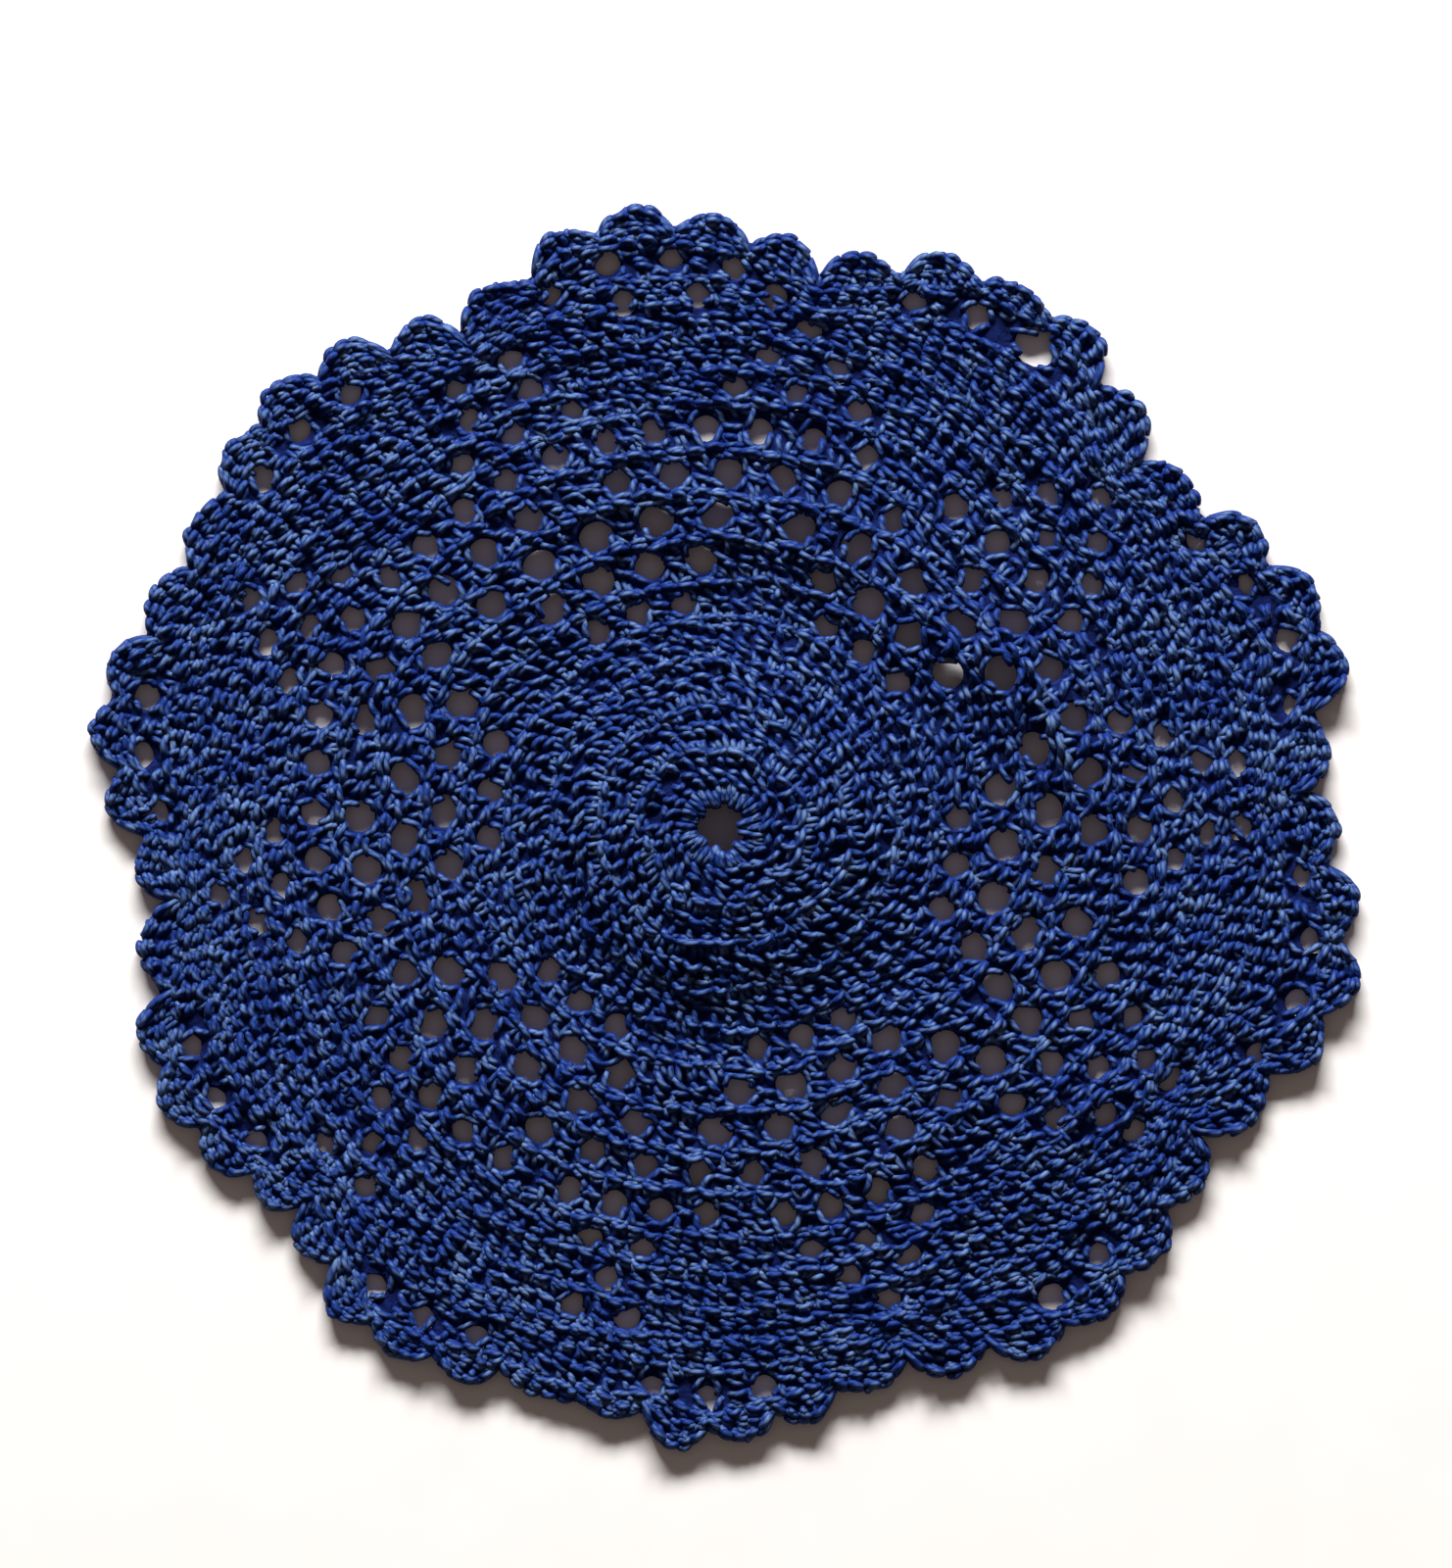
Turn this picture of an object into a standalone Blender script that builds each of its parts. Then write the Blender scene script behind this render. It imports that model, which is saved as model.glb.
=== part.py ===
"""A round lace doily, crocheted in one piece from shiny blue cotton yarn, lying on a table.

Run with: blender --background --python part.py. Metres, +Z up. The origin is under the middle
of the doily, on the table. The doily is one sheet: a solid centre, a star of eyelets, a net with
ten solid leaves, and ten scalloped lobes at the edge. Sizes below are in millimetres and degrees.
"""

from collections import namedtuple
from math import atan2, cos, exp, hypot, pi, radians, sin

import bpy
from mathutils import Vector
from mathutils.geometry import delaunay_2d_cdt

MM = 0.001
THICKNESS = 2.0
CENTRE_HOLE = 7.8

# The ten lobes, counter-clockwise. Each row starts at the notch before its lobe: the notch's
# angle and radius, how far the scallops lean off the lobe's middle as a share of its width, the
# radii of the five scallop tips, how far the net's first round is turned at the notch, how many
# eyelets lie there in each of the four net rounds, and how far the eyelets under the scallops
# lean and how many they are.
Lobe = namedtuple("Lobe", "notch_deg notch lean tips turn_deg net_eyelets edge_lean edge_eyelets")
LOBES = (
    Lobe(3.5, 101.2, -0.011, (106.6, 112.4, 111.5, 107.1, 101.4), 0.0, (4, 3, 2, 2), -0.02, 4),
    Lobe(41.2, 95.4, 0.006, (103.4, 108.3, 107.6, 107.1, 102.9), 0.9, (4, 3, 2, 1), 0.07, 3),
    Lobe(80.0, 96.0, -0.018, (103.4, 106.6, 108.8, 107.5, 102.6), 4.5, (5, 3, 2, 1), -0.02, 4),
    Lobe(117.9, 95.6, -0.012, (103.1, 107.1, 109.3, 108.3, 106.1), 3.9, (5, 3, 2, 2), 0.02, 3),
    Lobe(154.1, 102.4, 0.012, (107.1, 110.3, 110.6, 107.1, 102.1), 0.0, (4, 3, 2, 1), 0.06, 3),
    Lobe(187.6, 96.0, 0.052, (103.4, 107.6, 108.9, 106.6, 103.1), -3.0, (5, 3, 2, 1), 0.10, 3),
    Lobe(222.0, 97.1, -0.026, (103.9, 108.1, 108.1, 106.6, 103.6), 0.8, (5, 2, 1, 2), -0.01, 3),
    Lobe(255.9, 102.6, -0.018, (104.3, 108.1, 106.6, 104.3, 101.4), 1.6, (4, 2, 1, 2), -0.12, 3),
    Lobe(289.4, 97.0, 0.003, (103.6, 107.3, 108.1, 106.6, 104.1), 0.0, (4, 3, 2, 1), 0.00, 2),
    Lobe(327.4, 97.3, 0.022, (106.1, 111.4, 113.9, 111.4, 107.1), 0.8, (4, 3, 2, 2), 0.02, 4),
)
FIRST_SCALLOP = 0.118
SCALLOP_PITCH = 0.19
SCALLOP_DIP = 2.6
SCALLOP_STEPS = 4
SCALLOP_ROUNDNESS = 0.7

# The cloth is pulled a little out of round. Each row gives an angle, how far the rounds reach
# there against their mean radius, and how far the outer rounds of the star are turned there.
Pull = namedtuple("Pull", "angle_deg reach turn_deg")
PULLS = (
    Pull(3.0, 1.045, 1.0),
    Pull(27.0, 1.020, 0.5),
    Pull(45.0, 0.992, 1.0),
    Pull(80.0, 0.992, 3.5),
    Pull(105.0, 1.005, 3.0),
    Pull(120.0, 1.018, 3.6),
    Pull(137.0, 1.020, 3.0),
    Pull(150.0, 1.063, 0.8),
    Pull(160.0, 1.055, -0.5),
    Pull(172.0, 1.022, 0.0),
    Pull(182.0, 1.018, -0.4),
    Pull(192.0, 0.998, -1.2),
    Pull(212.0, 0.982, -0.5),
    Pull(228.0, 0.990, 0.0),
    Pull(245.0, 0.985, 0.8),
    Pull(264.0, 0.970, 0.4),
    Pull(280.0, 0.978, 1.4),
    Pull(294.0, 0.989, 1.8),
    Pull(315.0, 1.000, 2.7),
    Pull(335.0, 1.028, 1.8),
    Pull(354.0, 1.048, 1.3),
)
FIRM_RADIUS = 68.9
EDGE_RADIUS = 87.2
EDGE_PULL = 0.55

# The rounds of the star: six groups of eyelets in each, the first group's middle angle, and the
# share of the pull's turn that the round takes.
StarRound = namedtuple("StarRound", "radius first_deg count pitch_deg turn width height")
STAR_GROUPS = 6
STAR_ROUNDS = (
    StarRound(39.3, 51.0, 3, 11.5, 0.0, 4.2, 4.2),
    StarRound(46.9, 51.0, 4, 11.2, 0.0, 5.1, 5.0),
    StarRound(53.9, 51.0, 5, 11.3, 0.7, 5.4, 4.5),
    StarRound(61.2, 21.0, 6, 9.0, 1.0, 4.7, 4.7),
)

# The rounds of the net, which narrows to a point at each notch: the pitch is a share of a lobe,
# and the turn is the share of the notch's turn that the round takes.
NetRound = namedtuple("NetRound", "radius pitch turn width height")
NET_ROUNDS = (
    NetRound(68.9, 0.203, 1.0, 4.3, 4.2),
    NetRound(75.8, 0.215, 0.0, 4.1, 4.1),
    NetRound(81.5, 0.220, 0.0, 4.2, 4.1),
    NetRound(87.2, 0.190, 0.0, 4.3, 4.1),
)
EDGE_EYELET_INSET = 8.6
EDGE_EYELET_PITCH = 0.17
EDGE_EYELET_SIZE = 4.2
# One of them gapes: the first one of the second lobe. The third lobe has a second row under them.
GAPING_EYELET = (1, 0)
GAPING_WIDTH, GAPING_HEIGHT = 7.4, 6.0
SECOND_ROW = (2.115, 2.33, 2.545)
SECOND_RADIUS, SECOND_WIDTH, SECOND_HEIGHT = 92.0, 4.3, 4.0
WIDE_EYELET = 4.6

# The relief of the middle line of the sheet's underside: a low dome in the middle, a ring-shaped
# hollow round it, a gentle ridge, and flat on the table from there to the edge.
RELIEF = ((0.0, 4.4), (12.0, 4.0), (22.0, 2.9), (31.0, 0.8), (38.0, 0.2), (46.0, 0.5),
          (55.0, 0.9), (64.0, 0.6), (74.0, 0.0), (130.0, 0.0))
# Soft folds that stand on it: where each one's middle is, how far it runs outwards for each
# millimetre round the doily, its half length, its half width and its height.
Fold = namedtuple("Fold", "angle_deg radius slant half_length half_width height")
FOLDS = (
    Fold(27.0, 56.5, -0.40, 25.0, 5.0, 2.1),
    Fold(70.0, 52.0, 0.0, 20.0, 5.5, 1.4),
    Fold(104.0, 58.0, 0.40, 16.0, 5.0, 1.0),
    Fold(262.0, 44.0, 0.0, 13.0, 3.6, 0.9),
    Fold(301.0, 65.0, 0.0, 15.0, 3.6, 0.7),
    Fold(325.0, 82.0, 0.30, 18.0, 4.5, 0.9),
)

# Rings of guide points between the eyelets let the sheet bend with the relief.
GUIDE_RADII = (7.5, 13.0, 20.0, 28.0, 34.0, 43.0, 50.4, 57.6, 65.0, 72.3, 84.4, 92.6)
GUIDE_PITCH = 8.6
GUIDE_CLEARANCE = 1.5

# A lift below this is taken as flat on the table, and points closer than this are one point.
FLAT_BELOW = 0.02
SAME_POINT = 1e-5

BLUE = (0.022, 0.048, 0.150, 1.0)


def lobe_angle(place):
    """The angle of a place round the net, where a whole number is a notch."""
    lobe, share = LOBES[int(place) % len(LOBES)], place % 1.0
    after = LOBES[(int(place) + 1) % len(LOBES)]
    return lobe.notch_deg + share * ((after.notch_deg - lobe.notch_deg) % 360.0)


def pulled(angle_deg):
    """The pull at an angle, between its two rows."""
    for row, after in zip(PULLS, PULLS[1:] + PULLS[:1]):
        step, passed = (after.angle_deg - row.angle_deg) % 360, (angle_deg - row.angle_deg) % 360
        if passed < step:
            share = passed / step
            return Pull(angle_deg, row.reach + share * (after.reach - row.reach),
                        row.turn_deg + share * (after.turn_deg - row.turn_deg))


def drawn(radius, angle_deg):
    """Where a round lies at an angle: the pull fades towards the edge."""
    faded = min(max((radius - FIRM_RADIUS) / (EDGE_RADIUS - FIRM_RADIUS), 0.0), 1.0)
    strength = 1.0 - (1.0 - EDGE_PULL) * faded
    return radius * (1.0 + (pulled(angle_deg).reach - 1.0) * strength)


def polar(radius, angle_deg):
    return Vector((radius * cos(radians(angle_deg)), radius * sin(radians(angle_deg))))


def scallop_places(index):
    """Where the five scallop tips of a lobe are, and its two ends."""
    lean = LOBES[index].lean
    return [index + FIRST_SCALLOP + lean + SCALLOP_PITCH * tip for tip in range(5)]


def outline():
    """The scalloped edge as one loop of points, with a dip between two scallops."""
    points = []
    for index, lobe in enumerate(LOBES):
        tips = scallop_places(index)
        ends = [index] + [(a + b) / 2 for a, b in zip(tips, tips[1:])] + [index + 1]
        after = LOBES[(index + 1) % len(LOBES)].notch
        dips = [min(a, b) - SCALLOP_DIP for a, b in zip(lobe.tips, lobe.tips[1:])]
        feet = [lobe.notch] + dips + [after]
        for tip, radius in enumerate(lobe.tips):
            for step in range(SCALLOP_STEPS):
                share = step / SCALLOP_STEPS
                foot = feet[tip] + share * (feet[tip + 1] - feet[tip])
                swell = sin(pi * share) ** SCALLOP_ROUNDNESS
                place = ends[tip] + share * (ends[tip + 1] - ends[tip])
                points.append(polar(foot + (radius - foot) * swell, lobe_angle(place)))
    return points


def crown(place):
    """The radius of a smooth line over the scallop tips at a place."""
    index = int(place) % len(LOBES)
    share = (place % 1.0 - LOBES[index].lean - FIRST_SCALLOP) / SCALLOP_PITCH
    share = min(max(share, 0.0), 3.999)
    low, high = LOBES[index].tips[int(share)], LOBES[index].tips[int(share) + 1]
    return low + (share % 1.0) * (high - low)


def eyelet(radius, angle_deg, width, height):
    """A rounded eyelet as a loop of points, standing along its own radius."""
    middle = polar(radius, angle_deg)
    outward = middle.normalized() if radius else Vector((0.0, 1.0))
    across = Vector((-outward.y, outward.x))
    sides = 8 if width > WIDE_EYELET else 6
    turns = [2 * pi * (side + 0.5) / sides for side in range(sides)]
    return [middle + across * (cos(turn) * width / 2) + outward * (sin(turn) * height / 2)
            for turn in turns]


def eyelets():
    """Every eyelet of the doily, from the centre outwards."""
    loops = [eyelet(0.0, 0.0, CENTRE_HOLE, CENTRE_HOLE)]
    for row in STAR_ROUNDS:
        for group in range(STAR_GROUPS):
            for i in range(row.count):
                turn = row.first_deg + 360 / STAR_GROUPS * group
                turn += (i - (row.count - 1) / 2) * row.pitch_deg
                turn += row.turn * pulled(turn).turn_deg
                loops.append(eyelet(drawn(row.radius, turn), turn, row.width, row.height))
    for index, lobe in enumerate(LOBES):
        for row, count in zip(NET_ROUNDS, lobe.net_eyelets):
            for i in range(count):
                place = (index + (i - (count - 1) / 2) * row.pitch) % len(LOBES)
                turn = lobe_angle(place) + row.turn * lobe.turn_deg
                loops.append(eyelet(drawn(row.radius, turn), turn, row.width, row.height))
        for i in range(lobe.edge_eyelets):
            place = index + 0.5 + lobe.edge_lean
            place += (i - (lobe.edge_eyelets - 1) / 2) * EDGE_EYELET_PITCH
            width = height = EDGE_EYELET_SIZE
            if (index, i) == GAPING_EYELET:
                width, height = GAPING_WIDTH, GAPING_HEIGHT
            radius = crown(place) - EDGE_EYELET_INSET
            loops.append(eyelet(radius, lobe_angle(place), width, height))
    for place in SECOND_ROW:
        loops.append(eyelet(SECOND_RADIUS, lobe_angle(place), SECOND_WIDTH, SECOND_HEIGHT))
    return loops


def guide_points(loops):
    """Points on rings round the centre that keep clear of the eyelets."""
    discs = []
    for loop in loops:
        middle = sum(loop, Vector((0.0, 0.0))) / len(loop)
        discs.append((middle, max((point - middle).length for point in loop) + GUIDE_CLEARANCE))
    points = []
    for ring, radius in enumerate(GUIDE_RADII):
        count = round(2 * pi * radius / GUIDE_PITCH)
        for i in range(count):
            turn = 360 * (i + 0.5 * (ring % 2)) / count
            point = polar(drawn(radius, turn), turn)
            if all((point - middle).length > reach for middle, reach in discs):
                points.append(point)
    return points


def eased(share):
    return share * share * (3 - 2 * share)


def lift(point):
    """The height of the underside over a point of the table."""
    radius, angle = hypot(point.x, point.y), atan2(point.y, point.x)
    height = 0.0
    for (r0, z0), (r1, z1) in zip(RELIEF, RELIEF[1:]):
        if r0 <= radius < r1:
            height = z0 + (z1 - z0) * eased((radius - r0) / (r1 - r0))
    for fold in FOLDS:
        turn = (angle - radians(fold.angle_deg) + pi) % (2 * pi) - pi
        along = turn * fold.radius
        across = (radius - fold.radius - fold.slant * along) / fold.half_width
        along /= fold.half_length
        height += fold.height * exp(-along * along - across * across)
    return height if height > FLAT_BELOW else 0.0


def sheet_mesh():
    """The doily's underside as an open surface, cut to its edge and eyelets."""
    edge, holes = outline(), eyelets()
    points, rings = list(edge), [list(range(len(edge)))]
    for hole in holes:
        rings.append(list(range(len(points) + len(hole) - 1, len(points) - 1, -1)))
        points += hole
    points += guide_points(holes)
    inside_with_holes = 2
    cut = delaunay_2d_cdt(points, [], rings, inside_with_holes, SAME_POINT)
    middle_x = (min(p.x for p in edge) + max(p.x for p in edge)) / 2
    middle_y = (min(p.y for p in edge) + max(p.y for p in edge)) / 2
    corners = [Vector((p.x - middle_x, p.y - middle_y, lift(p))) * MM for p in cut[0]]
    mesh = bpy.data.meshes.new("doily")
    mesh.from_pydata(corners, [], cut[2])
    return mesh


def cotton():
    material = bpy.data.materials.new("blue_cotton")
    material.use_nodes = True
    shader = material.node_tree.nodes["Principled BSDF"]
    shader.inputs["Base Color"].default_value = BLUE
    shader.inputs["Roughness"].default_value = 0.5
    shader.inputs["Metallic"].default_value = 0.0
    return material


def doily():
    """The underside, thickened upwards to the height of the stitches."""
    piece = bpy.data.objects.new("doily", sheet_mesh())
    piece.data.materials.append(cotton())
    thicken = piece.modifiers.new("thickness of the stitches", "SOLIDIFY")
    thicken.thickness = THICKNESS * MM
    thicken.offset = 1.0
    return piece


for old in list(bpy.data.objects):
    bpy.data.objects.remove(old)

parts = bpy.data.collections.new("lace_doily")
bpy.context.scene.collection.children.link(parts)
parts.objects.link(doily())
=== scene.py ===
from collections import namedtuple

import bpy
import numpy as np
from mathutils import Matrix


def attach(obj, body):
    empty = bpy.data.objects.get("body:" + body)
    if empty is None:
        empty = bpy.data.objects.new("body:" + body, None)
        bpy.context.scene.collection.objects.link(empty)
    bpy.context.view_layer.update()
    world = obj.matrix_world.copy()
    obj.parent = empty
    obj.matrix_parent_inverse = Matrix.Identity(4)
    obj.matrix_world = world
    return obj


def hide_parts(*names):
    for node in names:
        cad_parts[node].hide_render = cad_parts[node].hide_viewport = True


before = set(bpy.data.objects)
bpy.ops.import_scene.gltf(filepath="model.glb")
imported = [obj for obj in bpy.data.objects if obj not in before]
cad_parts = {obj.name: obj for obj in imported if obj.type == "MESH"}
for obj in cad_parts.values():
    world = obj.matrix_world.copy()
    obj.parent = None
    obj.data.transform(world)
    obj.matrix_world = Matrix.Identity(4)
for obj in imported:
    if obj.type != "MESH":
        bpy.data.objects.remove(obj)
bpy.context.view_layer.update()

MM = 0.001

# The eye looks straight down on the doily from high above, with the doily a little below the
# middle of the picture. The picture is 1482 by 1600, and its long side is the sensor's width.
PICTURE_TALL_MM = 270.8
EYE_HEIGHT = 1.1
SENSOR_MM = 36.0
EYE_AT_MM = (0.17, 7.53)
CLIP_NEAR, CLIP_FAR = 0.05, 10.0
bpy.ops.object.camera_add(location=(EYE_AT_MM[0] * MM, EYE_AT_MM[1] * MM, EYE_HEIGHT),
                          rotation=(0.0, 0.0, 0.0))
camera = bpy.context.object
camera.name = "eye"
camera.data.sensor_width = SENSOR_MM
camera.data.lens = SENSOR_MM * EYE_HEIGHT / (PICTURE_TALL_MM * MM)
camera.data.clip_start, camera.data.clip_end = CLIP_NEAR, CLIP_FAR
bpy.context.scene.camera = camera

# The floor: a plain pale studio table that the doily lies on. A Tint is one socket of a
# material, and arithmetic on it adds Math nodes; any other node comes from its node method.


class Tint:
    def __init__(self, tree, socket=None):
        self.tree, self.socket = tree, socket

    def node(self, kind, settings=None, inputs=None, output=0):
        made = self.tree.nodes.new(kind)
        for name, value in (settings or {}).items():
            setattr(made, name, value)
        for name, value in (inputs or {}).items():
            if isinstance(value, Tint):
                self.tree.links.new(value.socket, made.inputs[name])
            else:
                made.inputs[name].default_value = value
        return Tint(self.tree, made.outputs[output])

    def math(self, operation, other=None, clamp=False):
        inputs = {0: self} if other is None else {0: self, 1: other}
        return self.node("ShaderNodeMath", {"operation": operation, "use_clamp": clamp}, inputs)

    def __add__(self, other):
        return self.math("ADD", other)

    __radd__ = __add__

    def __mul__(self, other):
        return self.math("MULTIPLY", other)

    __rmul__ = __mul__

    def __sub__(self, other):
        return self.math("SUBTRACT", other)

    def __rsub__(self, other):
        return (self * -1.0) + other

    def mixed(self, low, high):
        """One colour where this is 0 and another where it is 1."""
        return self.node("ShaderNodeMix", {"data_type": "RGBA", "clamp_factor": True},
                         {0: self, 6: low, 7: high}, output=2)


def finish_of(name, roughness, **constants):
    """A new material, its shader's sockets set, and a Tint to start its sums from."""
    material = bpy.data.materials.new(name)
    material.use_nodes = True
    shader = material.node_tree.nodes["Principled BSDF"]
    shader.inputs["Roughness"].default_value = roughness
    for socket, value in constants.items():
        shader.inputs[socket.replace("_", " ")].default_value = value
    return material, shader, Tint(material.node_tree)


def feed(shader, socket, tint):
    tint.tree.links.new(tint.socket, shader.inputs[socket])


def noise(place, scale, detail, roughness=0.5):
    """A cloudy pattern with this many spots to the metre."""
    return place.node("ShaderNodeTexNoise", None, {
        "Vector": place, "Scale": scale, "Detail": detail, "Roughness": roughness})


FLOOR_SIZE = 6.0
FLOOR_DROP = 0.0002
FLOOR_GRAIN = 60.0
FLOOR_LOW = (0.89, 0.85, 0.83, 1.0)
FLOOR_HIGH = (0.93, 0.90, 0.88, 1.0)
bpy.ops.object.select_all(action="DESELECT")
bpy.ops.mesh.primitive_plane_add(size=FLOOR_SIZE, location=(0.0, 0.0, 0.0))
floor = bpy.context.object
floor.name = "floor"
bpy.ops.transform.translate(value=(0.0, 0.0, -FLOOR_DROP))
bpy.ops.object.transform_apply(location=True)
floor_finish, floor_shader, start = finish_of("pale_floor", 0.9, Specular_IOR_Level=0.2)
place = start.node("ShaderNodeTexCoord", output=3)
feed(floor_shader, "Base Color", noise(place, FLOOR_GRAIN, 2.0).mixed(FLOOR_LOW, FLOOR_HIGH))
floor.data.materials.append(floor_finish)

# The light: one soft lamp low beyond the top of the picture, which rakes over the stitches, and
# a little warm light from the room all round.
LAMP_AT = (-0.15, 2.12, 0.85)
LAMP_WIDE, LAMP_TALL = 1.60, 0.38
LAMP_WATTS = 178.0
ROOM_TINT = (1.0, 0.80, 0.71, 1.0)
ROOM_LIGHT = 0.115
bpy.ops.object.light_add(type="AREA", location=LAMP_AT)
lamp = bpy.context.object
lamp.name = "top_lamp"
lamp.data.shape = "RECTANGLE"
lamp.data.size, lamp.data.size_y = LAMP_WIDE, LAMP_TALL
lamp.data.energy = LAMP_WATTS
lamp.rotation_euler = (-lamp.location).to_track_quat("-Z", "Y").to_euler()
world = bpy.data.worlds.new("room")
bpy.context.scene.world = world
world.use_nodes = True
world.node_tree.nodes["Background"].inputs["Color"].default_value = ROOM_TINT
world.node_tree.nodes["Background"].inputs["Strength"].default_value = ROOM_LIGHT
bpy.context.scene.view_settings.view_transform = "Standard"

# The centre: a ring of chain round a small hole, then four rounds worked solid in twisted blue
# cotton, each with more stitches than the last. It stands up as a low dome.
# The yarn is two plies twisted together, in royal blue. Its colour also holds painted light: deep
# navy painted as shade in the ply grooves and down the sides that face away from above, and pale
# blue painted as a highlight along the ply ridges and the tops of the loops, both broken up at
# random.
YARN_MM = 1.24
PLIES = 2
TURNS = 1.1
# Painted light: the first colour is painted shade and the third a painted highlight; royal blue is
# the yarn's own colour.
SHADE_BLUE = (0.003, 0.013, 0.118, 1.0)
ROYAL_BLUE = (0.007, 0.027, 0.130, 1.0)
HIGHLIGHT_BLUE = (0.080, 0.134, 0.270, 1.0)
ROYAL_FROM, HIGHLIGHT_FROM = 0.95, 2.85
PATCH_GRAIN, WORN_GRAIN, FIBRE_GRAIN = 330.0, 110.0, 4200.0
WORN_STRENGTH = 1.3
PLY_DEPTH = 0.00014


def cotton():
    """Twisted mercerised cotton, its plies seen as ridges that wind along each strand, with painted
    shade in its grooves and a painted highlight on its tops.
    """
    material, shader, start = finish_of(
        "blue_cotton", 0.58, Sheen_Weight=0.08, Sheen_Roughness=0.4,
        Sheen_Tint=(0.30, 0.50, 1.0, 1.0), Specular_IOR_Level=0.19,
        Specular_Tint=(0.44, 0.66, 1.0, 1.0))
    unrolled = start.node("ShaderNodeTexCoord", output=2)
    split = start.node("ShaderNodeSeparateXYZ", None, {0: unrolled}).socket.node
    along, around = Tint(start.tree, split.outputs[0]), Tint(start.tree, split.outputs[1])
    ply = ((around + along * TURNS) * float(PLIES)).math("FRACT")
    ridge = (ply * np.pi).math("SINE")
    place = start.node("ShaderNodeTexCoord", output=3)
    patch = noise(place, PATCH_GRAIN, 2.0, 0.6)
    worn = (noise(place, WORN_GRAIN, 3.0, 0.6) - 0.5) * WORN_STRENGTH
    fibre = noise(place, FIBRE_GRAIN, 2.0, 0.7)
    # Painted light: strands are made paler where they face up and darker on their sides, as if lit
    # from above.
    normal = start.node("ShaderNodeNewGeometry", output=1)
    facing_up = start.node("ShaderNodeSeparateXYZ", None, {0: normal}, output=2)
    # Painted shade: deep navy in the ply grooves and on the sides of strands, royal blue elsewhere,
    # varied by random patches.
    painted_light = ridge * 0.4 + patch + fibre * 0.3 + facing_up * 0.8 + worn
    painted_light = painted_light.math("SUBTRACT", ROYAL_FROM, clamp=True)
    # Painted highlight: pale blue on the ply ridges and the up-facing tops of the loops, where
    # random patches allow.
    painted_highlight = ridge * 0.6 + patch * 2.8 + fibre * 0.5 + facing_up * 1.2 + worn
    painted_highlight = painted_highlight.math("SUBTRACT", HIGHLIGHT_FROM, clamp=True)
    feed(shader, "Base Color", painted_highlight.mixed(painted_light.mixed(SHADE_BLUE, ROYAL_BLUE), HIGHLIGHT_BLUE))
    relief = ridge + fibre * 0.4
    feed(shader, "Normal", start.node("ShaderNodeBump", None, {
        "Strength": 0.5, "Distance": PLY_DEPTH, "Height": relief}))
    return material


COTTON = cotton()

# The relief of the cloth repeats the solid's own sizes, in millimetres and degrees: the middle
# of its outline, the rings of its underside by radius and height, and the soft folds on them.
MIDDLE_MM = (0.65, -0.05)
FABRIC_MIDDLE_MM = 1.0
RELIEF = ((0.0, 4.4), (12.0, 4.0), (22.0, 2.9), (31.0, 0.8), (38.0, 0.2), (46.0, 0.5),
          (55.0, 0.9), (64.0, 0.6), (74.0, 0.0), (130.0, 0.0))
Fold = namedtuple("Fold", "angle_deg radius slant half_length half_width height")
FOLDS = (
    Fold(27.0, 56.5, -0.40, 25.0, 5.0, 2.1),
    Fold(70.0, 52.0, 0.0, 20.0, 5.5, 1.4),
    Fold(104.0, 58.0, 0.40, 16.0, 5.0, 1.0),
    Fold(262.0, 44.0, 0.0, 13.0, 3.6, 0.9),
    Fold(301.0, 65.0, 0.0, 15.0, 3.6, 0.7),
    Fold(325.0, 82.0, 0.30, 18.0, 4.5, 0.9),
)
# The cloth is pulled a little out of round, as in the solid: how far the rounds reach at each
# angle against their mean radius, and how far the outer rounds of the star are turned there.
Pull = namedtuple("Pull", "angle_deg reach turn_deg")
PULLS = (
    Pull(3.0, 1.045, 1.0),
    Pull(27.0, 1.020, 0.5),
    Pull(45.0, 0.992, 1.0),
    Pull(80.0, 0.992, 3.5),
    Pull(105.0, 1.005, 3.0),
    Pull(120.0, 1.018, 3.6),
    Pull(137.0, 1.020, 3.0),
    Pull(150.0, 1.063, 0.8),
    Pull(160.0, 1.055, -0.5),
    Pull(172.0, 1.022, 0.0),
    Pull(182.0, 1.018, -0.4),
    Pull(192.0, 0.998, -1.2),
    Pull(212.0, 0.982, -0.5),
    Pull(228.0, 0.990, 0.0),
    Pull(245.0, 0.985, 0.8),
    Pull(264.0, 0.970, 0.4),
    Pull(280.0, 0.978, 1.4),
    Pull(294.0, 0.989, 1.8),
    Pull(315.0, 1.000, 2.7),
    Pull(335.0, 1.028, 1.8),
    Pull(354.0, 1.048, 1.3),
)
PULL_TABLE = np.array(PULLS)
FIRM_RADIUS = 68.9
EDGE_RADIUS = 87.2
EDGE_PULL = 0.55


def pulled(angle_deg, column):
    """A column of the pull's table at these angles."""
    return np.interp(angle_deg, PULL_TABLE[:, 0], PULL_TABLE[:, column], period=360.0)


def drawn(radius, angle_deg):
    """Where a round lies at these angles: the pull fades towards the edge, as in the solid."""
    faded = np.clip((radius - FIRM_RADIUS) / (EDGE_RADIUS - FIRM_RADIUS), 0.0, 1.0)
    strength = 1.0 - (1.0 - EDGE_PULL) * faded
    return radius * (1.0 + (pulled(angle_deg, 1) - 1.0) * strength)


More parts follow.
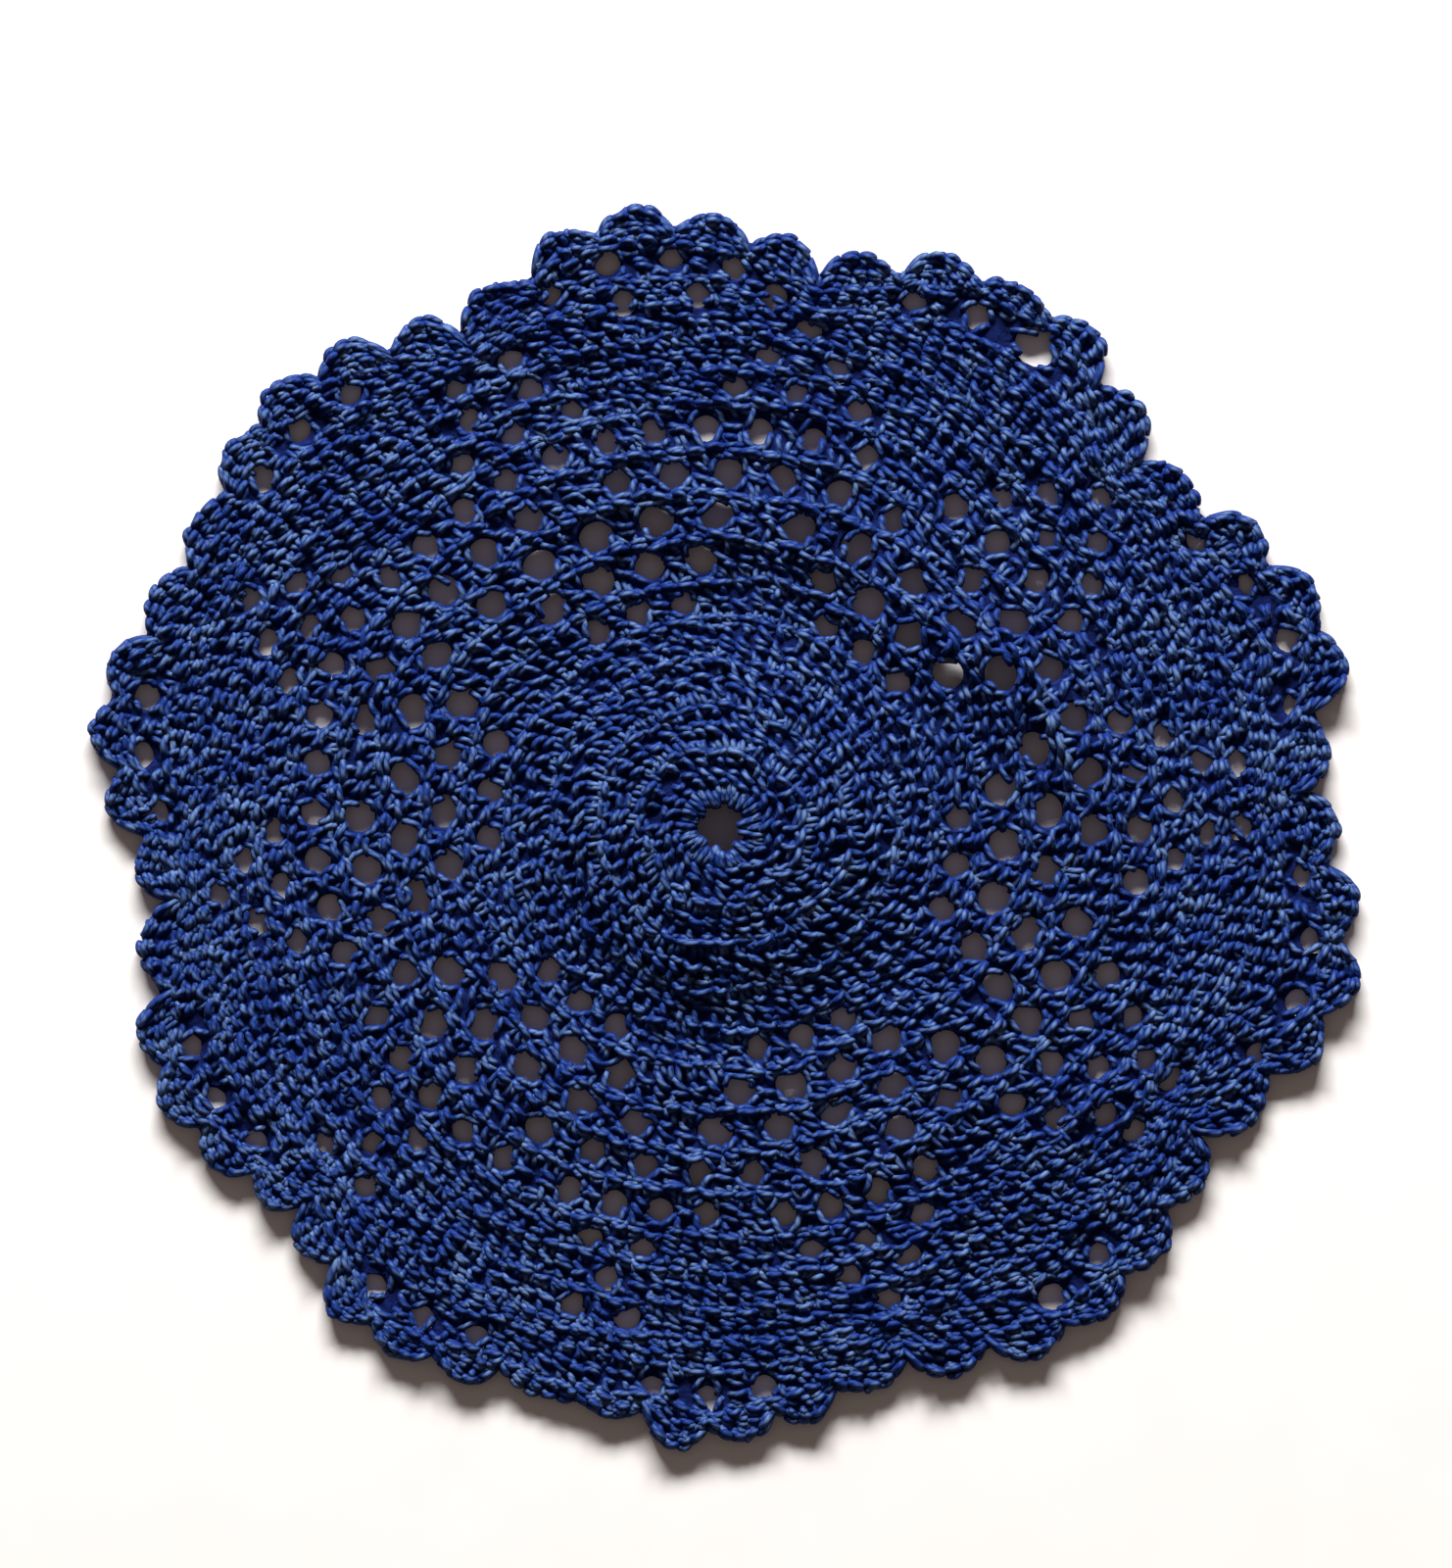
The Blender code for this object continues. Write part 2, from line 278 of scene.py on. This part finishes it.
def lift(radius, angle_deg):
    """The height of the underside, in millimetres, as in the solid."""
    height = np.zeros(np.shape(radius))
    for (r0, z0), (r1, z1) in zip(RELIEF, RELIEF[1:]):
        share = np.clip((radius - r0) / (r1 - r0), 0.0, 1.0)
        ring = (radius >= r0) & (radius < r1)
        height = np.where(ring, z0 + (z1 - z0) * share * share * (3.0 - 2.0 * share), height)
    for fold in FOLDS:
        turn = (angle_deg - fold.angle_deg + 180.0) % 360.0 - 180.0
        along = np.radians(turn) * fold.radius
        across = (radius - fold.radius - fold.slant * along) / fold.half_width
        along = along / fold.half_length
        height = height + fold.height * np.exp(-along * along - across * across)
    return height


def laid(radius, angle_deg, out):
    """Points of the doily in metres, out millimetres above the middle of the fabric."""
    step = 0.5
    slope_out = (lift(radius + step, angle_deg) - lift(radius - step, angle_deg)) / (2 * step)
    turn = np.degrees(step / np.maximum(radius, 1.0))
    slope_round = (lift(radius, angle_deg + turn) - lift(radius, angle_deg - turn)) / (2 * step)
    rise = FABRIC_MIDDLE_MM + out
    norm = np.sqrt(1.0 + slope_out ** 2 + slope_round ** 2)
    radial, tangent = radius - rise * slope_out / norm, -rise * slope_round / norm
    angle = np.radians(angle_deg)
    x = radial * np.cos(angle) - tangent * np.sin(angle) - MIDDLE_MM[0]
    y = radial * np.sin(angle) + tangent * np.cos(angle) - MIDDLE_MM[1]
    return np.stack([x, y, lift(radius, angle_deg) + rise / norm], axis=-1) * MM


# One stitch at its nominal size in millimetres: each strand that shows arches out of the fabric
# between two points, across the round and up the stitch. A rim goes round an open mesh.
CELL_MM = 3.3
STITCH_MM = 7.4
Strand = namedtuple("Strand", "across up to_across to_up bow rise")
POST = (
    Strand(-1.10, -0.4, -0.60, 2.6, -0.15, 0.50),
    Strand(0.70, -0.3, 1.20, 2.4, 0.20, 0.46),
    Strand(-1.55, 2.3, 1.30, 3.5, 0.20, 0.90),
    Strand(-1.30, 4.0, 1.40, 4.9, -0.20, 0.85),
    Strand(-0.60, 5.0, 0.30, 7.1, 0.20, 0.78),
)
CHAIN = (
    Strand(-1.55, -0.85, 1.45, -0.45, -0.15, 0.50),
    Strand(-1.70, -0.25, 1.70, 0.30, 0.10, 1.15),
    Strand(-1.45, 0.80, 1.55, 0.50, 0.10, 0.54),
)
RIM = (
    Strand(-2.70, 4.30, -1.00, 6.70, 0.20, 0.42),
    Strand(1.00, 6.70, 2.70, 4.30, 0.20, 0.42),
    Strand(2.70, 3.10, 1.00, 0.70, 0.20, 0.42),
    Strand(-1.00, 0.70, -2.70, 3.10, 0.20, 0.42),
)
RIM_MM = 4.5
SEGMENTS = 5
SUNK_MM = -0.12
LOOSE_MM = 0.42
LOOSE_BOW_MM = 0.30
LOOSE_RISE = 0.20
ARCH_ROUNDNESS = 0.8
hand = np.random.default_rng(11)


def worked(chart, angles, cell_deg, low, high=None, loose=LOOSE_MM):
    """Strands of stitches at these angles: from edge to edge, or along one edge."""
    angles, cell_deg = np.broadcast_arrays(np.asarray(angles, float), cell_deg)
    table = np.array(chart)[None, :, :]
    ends = table[..., :4] + hand.normal(0.0, loose, (len(angles), len(chart), 4))
    bow = table[..., 4] + hand.normal(0.0, LOOSE_BOW_MM, ends.shape[:2])
    rise = table[..., 5] * hand.normal(1.0, LOOSE_RISE, ends.shape[:2])
    rise = rise * hand.normal(1.0, LOOSE_RISE, (len(angles), 1))
    share = np.linspace(0.0, 1.0, SEGMENTS + 1)
    arch = np.sin(np.pi * share)
    start, end = ends[..., None, :2], ends[..., None, 2:]
    run = start + (end - start) * share[:, None]
    side = np.stack([-(end - start)[..., 1], (end - start)[..., 0]], axis=-1)
    side = side / np.linalg.norm(side, axis=-1, keepdims=True)
    run = run + side * (bow[..., None] * arch)[..., None]
    out = SUNK_MM + (rise[..., None] - SUNK_MM) * arch ** ARCH_ROUNDNESS
    shifted = angles[:, None, None] + run[..., 0] / CELL_MM * cell_deg[:, None, None]
    if high is None:
        radius = low(shifted) + run[..., 1]
    else:
        radius = low(shifted) + run[..., 1] / STITCH_MM * (high(shifted) - low(shifted))
    return laid(radius, shifted, out).reshape(-1, SEGMENTS + 1, 3)


SAME_POINT = 1e-7


def spun(name, runs):
    """One piece of yarn strands that rides on the doily's one body."""
    line = bpy.data.curves.new(name, "CURVE")
    line.dimensions = "3D"
    line.bevel_depth = YARN_MM / 2 * MM
    line.bevel_resolution = 1
    line.use_fill_caps = True
    for points in np.concatenate(runs):
        spline = line.splines.new("POLY")
        spline.points.add(len(points) - 1)
        spline.points.foreach_set("co", np.c_[points, np.ones(len(points))].ravel())
        spline.use_smooth = True
    yarn = bpy.data.objects.new(name, line)
    bpy.context.scene.collection.objects.link(yarn)
    bpy.ops.object.select_all(action="DESELECT")
    yarn.select_set(True)
    bpy.context.view_layer.objects.active = yarn
    bpy.ops.object.convert(target="MESH")
    yarn = bpy.context.object
    bpy.ops.object.mode_set(mode="EDIT")
    bpy.ops.mesh.select_all(action="SELECT")
    bpy.ops.mesh.remove_doubles(threshold=SAME_POINT)
    bpy.ops.object.mode_set(mode="OBJECT")
    yarn.data.materials.clear()
    yarn.data.materials.append(COTTON)
    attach(yarn, "root")
    return yarn


def even_round(count, phase=0.0):
    """The angles of a round's evenly spaced stitches, and the angle that each takes."""
    return 360.0 * (np.arange(count) + phase) / count, 360.0 / count


WANDER_MM = 0.35


def ring(radius):
    """The line between two rounds, which wanders a little as handwork does."""
    def edge(angles):
        turn = np.radians(angles)
        wander = np.sin(3 * turn + radius) + np.sin(7 * turn + 2.3 * radius)
        return drawn(radius, angles) + WANDER_MM * wander
    return edge


def chain_round(radius, edge, phase=0.0):
    """The line of loops along the top of a round."""
    angles, cell = even_round(round(2 * np.pi * radius / CELL_MM), phase)
    return worked(CHAIN, angles, cell, edge)


CENTRE_EDGES = (4.6, 13.2, 20.6, 28.1, 35.5)
CENTRE_COUNTS = (24, 40, 54, 70)
CENTRE_TURN = 0.37
rows = []
for number, count in enumerate(CENTRE_COUNTS):
    inner, outer = CENTRE_EDGES[number], CENTRE_EDGES[number + 1]
    angles, cell = even_round(count, CENTRE_TURN * number)
    rows.append(worked(POST, angles, cell, ring(inner), ring(outer)))
    rows.append(chain_round(outer, ring(outer), 0.5))
centre = spun("centre_rounds", rows)

# The star: four rounds that open six groups of meshes, three, four and five to a round, and then
# six between them. A post stands between two meshes, and posts fill what lies between the groups.
STAR_GROUPS = 6
GROUP_DEG = 360.0 / STAR_GROUPS
Star = namedtuple("Star", "inner outer first_deg meshes pitch_deg width turn fill")
STAR_ROUNDS = (
    Star(35.5, 43.0, 51.0, 3, 11.5, 4.2, 0.0, 5),
    Star(43.0, 50.4, 51.0, 4, 11.2, 5.1, 0.0, 3),
    Star(50.4, 57.5, 51.0, 5, 11.3, 5.2, 0.7, 0),
    Star(57.5, 65.0, 21.0, 6, 9.0, 4.7, 1.0, 1),
)


def star_posts(row):
    angles = []
    for group in range(STAR_GROUPS):
        first = row.first_deg + GROUP_DEG * group - row.meshes / 2 * row.pitch_deg
        angles += [first + row.pitch_deg * mesh for mesh in range(row.meshes + 1)]
        gap = GROUP_DEG - row.meshes * row.pitch_deg
        last = first + row.meshes * row.pitch_deg
        angles += [last + gap * (post + 1) / (row.fill + 1) for post in range(row.fill)]
    return np.array(angles) + row.turn * pulled(angles, 2)


def star_meshes(row):
    groups, meshes = np.arange(STAR_GROUPS), np.arange(row.meshes) - (row.meshes - 1) / 2
    angles = (row.first_deg + GROUP_DEG * groups[:, None] + row.pitch_deg * meshes).ravel()
    return angles + row.turn * pulled(angles, 2)


rows = []
for row in STAR_ROUNDS:
    cell = np.degrees(CELL_MM / (row.inner + row.outer) * 2)
    rows.append(worked(POST, star_posts(row), cell, ring(row.inner), ring(row.outer)))
    rows.append(worked(RIM, star_meshes(row), cell * row.width / RIM_MM, ring(row.inner),
                       ring(row.outer)))
    rows.append(chain_round(row.outer, ring(row.outer), 0.3))
star = spun("star_rounds", rows)

# The net and its leaves: at each notch the net narrows from five meshes to one, and between two
# notches the stitches are worked close, which makes a solid leaf. Ten lobes, notch to notch.
# A row of the table repeats the solid's: the notch's angle and radius, how far the scallops lean
# off the lobe's middle, the radii of the five tips, how far the net's first round is turned at
# the notch, its meshes in each net round, and how far those under the scallops lean and how many.
Lobe = namedtuple("Lobe", "notch_deg notch lean tips turn_deg net_eyelets edge_lean edge_eyelets")
LOBES = (
    Lobe(3.5, 101.2, -0.011, (106.6, 112.4, 111.5, 107.1, 101.4), 0.0, (4, 3, 2, 2), -0.02, 4),
    Lobe(41.2, 95.4, 0.006, (103.4, 108.3, 107.6, 107.1, 102.9), 0.9, (4, 3, 2, 1), 0.07, 3),
    Lobe(80.0, 96.0, -0.018, (103.4, 106.6, 108.8, 107.5, 102.6), 4.5, (5, 3, 2, 1), -0.02, 4),
    Lobe(117.9, 95.6, -0.012, (103.1, 107.1, 109.3, 108.3, 106.1), 3.9, (5, 3, 2, 2), 0.02, 3),
    Lobe(154.1, 102.4, 0.012, (107.1, 110.3, 110.6, 107.1, 102.1), 0.0, (4, 3, 2, 1), 0.06, 3),
    Lobe(187.6, 96.0, 0.052, (103.4, 107.6, 108.9, 106.6, 103.1), -3.0, (5, 3, 2, 1), 0.10, 3),
    Lobe(222.0, 97.1, -0.026, (103.9, 108.1, 108.1, 106.6, 103.6), 0.8, (5, 2, 1, 2), -0.01, 3),
    Lobe(255.9, 102.6, -0.018, (104.3, 108.1, 106.6, 104.3, 101.4), 1.6, (4, 2, 1, 2), -0.12, 3),
    Lobe(289.4, 97.0, 0.003, (103.6, 107.3, 108.1, 106.6, 104.1), 0.0, (4, 3, 2, 1), 0.00, 2),
    Lobe(327.4, 97.3, 0.022, (106.1, 111.4, 113.9, 111.4, 107.1), 0.8, (4, 3, 2, 2), 0.02, 4),
)
NOTCHES = np.array([lobe.notch_deg for lobe in LOBES] + [LOBES[0].notch_deg + 360.0])
PLACES = np.arange(len(NOTCHES))


def place_of(angle_deg):
    """The place round the net of an angle, where a whole number is a notch."""
    turned = (angle_deg - NOTCHES[0]) % 360.0 + NOTCHES[0]
    return np.interp(turned, NOTCHES, PLACES)


def angle_of(place):
    return np.interp(np.asarray(place) % len(LOBES), PLACES, NOTCHES)


Net = namedtuple("Net", "inner outer pitch turn phase")
NET_ROUNDS = (
    Net(65.0, 72.8, 0.203, 1.0, 0.7),
    Net(72.8, 78.7, 0.215, 0.0, 0.2),
    Net(78.7, 84.6, 0.220, 0.0, 0.1),
    Net(84.6, 90.5, 0.190, 0.0, 0.6),
)
NET_MESH_MM = 4.2


def net_posts(number):
    """The posts of a net round: one at each side of a mesh, and close ones in the leaves."""
    row, angles = NET_ROUNDS[number], []
    for notch, lobe in enumerate(LOBES):
        after = LOBES[(notch + 1) % len(LOBES)]
        meshes = lobe.net_eyelets[number]
        places = notch + row.pitch * (np.arange(meshes + 1) - meshes / 2)
        open_posts = angle_of(places) + row.turn * lobe.turn_deg
        end = angle_of(notch + 1 - row.pitch * after.net_eyelets[number] / 2)
        room = (end + row.turn * after.turn_deg - open_posts[-1] + 180.0) % 360.0 - 180.0
        fill = max(0, round(np.radians(room) * row.outer / CELL_MM) - 1)
        close_posts = open_posts[-1] + room * (np.arange(fill) + 1.0) / (fill + 1)
        angles += [*open_posts, *close_posts]
    return angles


def net_meshes(number):
    row, angles = NET_ROUNDS[number], []
    for notch, lobe in enumerate(LOBES):
        meshes = lobe.net_eyelets[number]
        places = notch + row.pitch * (np.arange(meshes) - (meshes - 1) / 2)
        angles += [*(angle_of(places) + row.turn * lobe.turn_deg)]
    return angles


def net_round(number):
    row = NET_ROUNDS[number]
    cell = np.degrees(CELL_MM / (row.inner + row.outer) * 2)
    return [worked(POST, net_posts(number), cell, ring(row.inner), ring(row.outer)),
            worked(RIM, net_meshes(number), cell * NET_MESH_MM / RIM_MM, ring(row.inner),
                   ring(row.outer)),
            chain_round(row.outer, ring(row.outer), row.phase)]


# The third lobe has a second row of open meshes below those under its scallops, which also
# breaks into the last chain of the leaves.
SECOND_ROW = (2.115, 2.33, 2.545)
SECOND_RADIUS = 92.0
CLEAR_MM = 2.4


def kept_clear(runs, radii, angles, reach_mm):
    """The strands that keep this far from the middles of these open meshes."""
    strands = np.concatenate(runs)
    middles = laid(np.asarray(radii, float), np.asarray(angles, float), 0.0)
    away = np.linalg.norm(strands[:, :, None, :2] - middles[:, :2], axis=-1).min(axis=1)
    return [strands[np.all(away > np.asarray(reach_mm) * MM, axis=1)]]


second_angles = angle_of(SECOND_ROW)
second_radii = np.full(len(SECOND_ROW), SECOND_RADIUS)
net = spun("net_rounds", net_round(0) + net_round(1))
leaves = spun("leaf_rounds", kept_clear(net_round(2) + net_round(3), second_radii, second_angles,
                                        CLEAR_MM))

# The border: two rounds that follow the lobes, the first nearly solid and the second with a few
# open meshes under the scallops.
FIRST_SCALLOP = 0.118
SCALLOP_PITCH = 0.19
SCALLOP_DIP = 2.6
FOOT_PLACES, FOOT_RADII = [], []
for index, lobe in enumerate(LOBES):
    first = index + FIRST_SCALLOP + lobe.lean
    FOOT_PLACES += [index] + [first + SCALLOP_PITCH * (tip + 0.5) for tip in range(4)]
    FOOT_RADII += [lobe.notch] + [min(pair) - SCALLOP_DIP for pair in zip(lobe.tips, lobe.tips[1:])]
FOOT_PLACES = np.array(FOOT_PLACES + [len(LOBES)])
FOOT_RADII = np.array(FOOT_RADII + [LOBES[0].notch])
NOTCH_DIP = 1.6
NOTCH_HALF_WIDTH = 0.10
SHELL_FOOT = 2.6
OPEN_ROUND = 7.2
OPEN_SHARE = 0.60


def border_foot(angles):
    """Where the border starts: the leaves' last round, which dips at each notch."""
    notch = np.abs((place_of(angles) + 0.5) % 1.0 - 0.5) / NOTCH_HALF_WIDTH
    return drawn(NET_ROUNDS[-1].outer, angles) - NOTCH_DIP * np.exp(-notch * notch)


def border_top(angles):
    return np.interp(place_of(angles), FOOT_PLACES, FOOT_RADII) - SHELL_FOOT


def border_middle(angles):
    """Between the two rounds: the outer one is as tall as its open meshes where there is room."""
    foot, top = border_foot(angles), border_top(angles)
    return top - np.minimum(OPEN_ROUND, OPEN_SHARE * (top - foot))


EDGE_EYELET_PITCH = 0.17
EYELET_HALF_WIDTH = 0.055
GAPING_EYELET = (1, 0)
GAPING = 1.6
FIRST_POSTS, FIRST_RADIUS = 190, 95.0
LOBE_POSTS, OUTER_RADIUS = 20, 99.0
OUTER_CELL_DEG = 360.0 / 204
RIM_RADIUS = 100.0
WIDE_REACH, SECOND_REACH = 0.7, 0.9
cell = np.degrees(CELL_MM / RIM_RADIUS)
angles, close_cell = even_round(FIRST_POSTS)
rows = [worked(POST, angles, close_cell, border_foot, border_middle),
        chain_round(FIRST_RADIUS, border_middle, 0.4)]
rims = [worked(RIM, second_angles, cell, border_foot, border_middle)]
places, open_places, wide = [], [], []
for index, lobe in enumerate(LOBES):
    meshes = np.arange(lobe.edge_eyelets)
    middles = meshes - (lobe.edge_eyelets - 1) / 2
    middles = index + 0.5 + lobe.edge_lean + middles * EDGE_EYELET_PITCH
    width = np.array([GAPING if (index, mesh) == GAPING_EYELET else 1.0 for mesh in meshes])
    stops = index + (np.arange(LOBE_POSTS) + 0.5) / LOBE_POSTS
    places += [stop for stop in stops if np.all(abs(stop - middles) > width * EYELET_HALF_WIDTH)]
    open_places += [*middles]
    wide += [*width]
rows += [worked(POST, angle_of(places), OUTER_CELL_DEG, border_middle, border_top),
         chain_round(OUTER_RADIUS, border_top, 0.8)]
open_angles, wide = angle_of(open_places), np.array(wide)
rims.append(worked(RIM, open_angles, cell * wide, border_middle, border_top))
open_radii = (border_middle(open_angles) + border_top(open_angles)) / 2
open_angles, open_radii = np.r_[open_angles, second_angles], np.r_[open_radii, second_radii]
reach = CLEAR_MM * np.r_[wide ** WIDE_REACH, np.full(len(second_angles), SECOND_REACH)]
border = spun("border_rounds", kept_clear(rows, open_radii, open_angles, reach) + rims)

# The scallops: fifty small shells, five to a lobe. The stitches of each fan out from its foot
# and its top loops follow a round edge.
TIPS = np.array([tip for lobe in LOBES for tip in lobe.tips])
SCALLOP_ROUNDNESS = 0.7
SHELL_TOP = 1.8
NEAT_MM = 0.12


def scallop_edge(angles):
    place = place_of(angles)
    number = np.clip(np.searchsorted(FOOT_PLACES, place, side="right") - 1, 0, len(TIPS) - 1)
    share = (place - FOOT_PLACES[number]) / (FOOT_PLACES[number + 1] - FOOT_PLACES[number])
    low = FOOT_RADII[number] + share * (FOOT_RADII[number + 1] - FOOT_RADII[number])
    swell = np.sin(np.pi * np.clip(share, 0.0, 1.0)) ** SCALLOP_ROUNDNESS
    return low + (TIPS[number] - low) * swell - SHELL_TOP


SHELL_STOPS = np.array([0.10, 0.30, 0.50, 0.70, 0.90])
TOP_SHIFT = 0.04
SHELL_CELL_DEG, TOP_CELL_DEG = 1.5, 1.45
starts, widths = FOOT_PLACES[:-1, None], np.diff(FOOT_PLACES)[:, None]
shells = angle_of((starts + widths * SHELL_STOPS).ravel())
tops = angle_of((starts + widths * (SHELL_STOPS - TOP_SHIFT)).ravel())
rows = [worked(POST, shells, SHELL_CELL_DEG, border_top, scallop_edge),
        worked(CHAIN, tops, TOP_CELL_DEG, scallop_edge, loose=NEAT_MM)]
scallops = spun("scallops", rows)

# The ground of the fabric: the inner run of every stitch, which closes the gaps between strands. It
# is the solid itself drawn in on all sides, in the yarn's blue darkened far below the yarn's own
# colour as painted shade, for the shadow in the gaps between strands.
# Its underside hangs a little lower where the cloth stands off the table.
GROUND_INSET_MM = 0.80
GROUND_DROP_MM = 0.42
HANG, HANG_MOST_MM = 0.7, 1.3
FACING_DOWN = 0.8
LOOSE_CORNER = 1e-6
GROUND_GRAIN, GROUND_CONTRAST = 900.0, 2.5
# Painted shade: both ground colours are darker than the yarn, for the shadow in the gaps; the grain
# varies them at random.
GROUND_DEEP_SHADE = (0.001, 0.004, 0.036, 1.0)
GROUND_SHADE = (0.003, 0.011, 0.090, 1.0)
bpy.ops.object.select_all(action="DESELECT")
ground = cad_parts["doily"].copy()
ground.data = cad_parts["doily"].data.copy()
ground.name = ground.data.name = "ground"
for key in [key for key in ground.keys() if key.startswith("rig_")]:
    del ground[key]
bpy.context.scene.collection.objects.link(ground)
ground.parent = None
ground.select_set(True)
bpy.context.view_layer.objects.active = ground
bpy.ops.object.mode_set(mode="EDIT")
bpy.ops.mesh.select_all(action="SELECT")
bpy.ops.mesh.remove_doubles(threshold=LOOSE_CORNER)
bpy.ops.transform.shrink_fatten(value=-GROUND_INSET_MM * MM)
bpy.ops.object.mode_set(mode="OBJECT")
under = {corner for face in ground.data.polygons if face.normal.z < -FACING_DOWN
         for corner in face.vertices}
for number in under:
    corner = ground.data.vertices[number]
    hang_mm = min(HANG * max(corner.co.z / MM - GROUND_INSET_MM, 0.0), HANG_MOST_MM)
    corner.co.z -= (GROUND_DROP_MM + hang_mm) * MM
soften = ground.modifiers.new("round eyelets", "SUBSURF")
soften.levels = soften.render_levels = 1
bpy.ops.object.modifier_apply(modifier=soften.name)
ground_finish, ground_shader, start = finish_of("ground_painted_shade", 0.9, Specular_IOR_Level=0.1)
place = start.node("ShaderNodeTexCoord", output=3)
grain = noise(place, GROUND_GRAIN, 3.0)
# Painted shade: the ground is mixed between its two dark colours by random grain.
feed(ground_shader, "Base Color",
     ((grain - 0.5) * GROUND_CONTRAST + 0.5).mixed(GROUND_DEEP_SHADE, GROUND_SHADE))
feed(ground_shader, "Normal", start.node("ShaderNodeBump", None, {
    "Strength": 0.8, "Distance": 0.0004, "Height": grain}))
ground.data.materials.clear()
ground.data.materials.append(ground_finish)
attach(ground, "root")
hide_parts("doily")
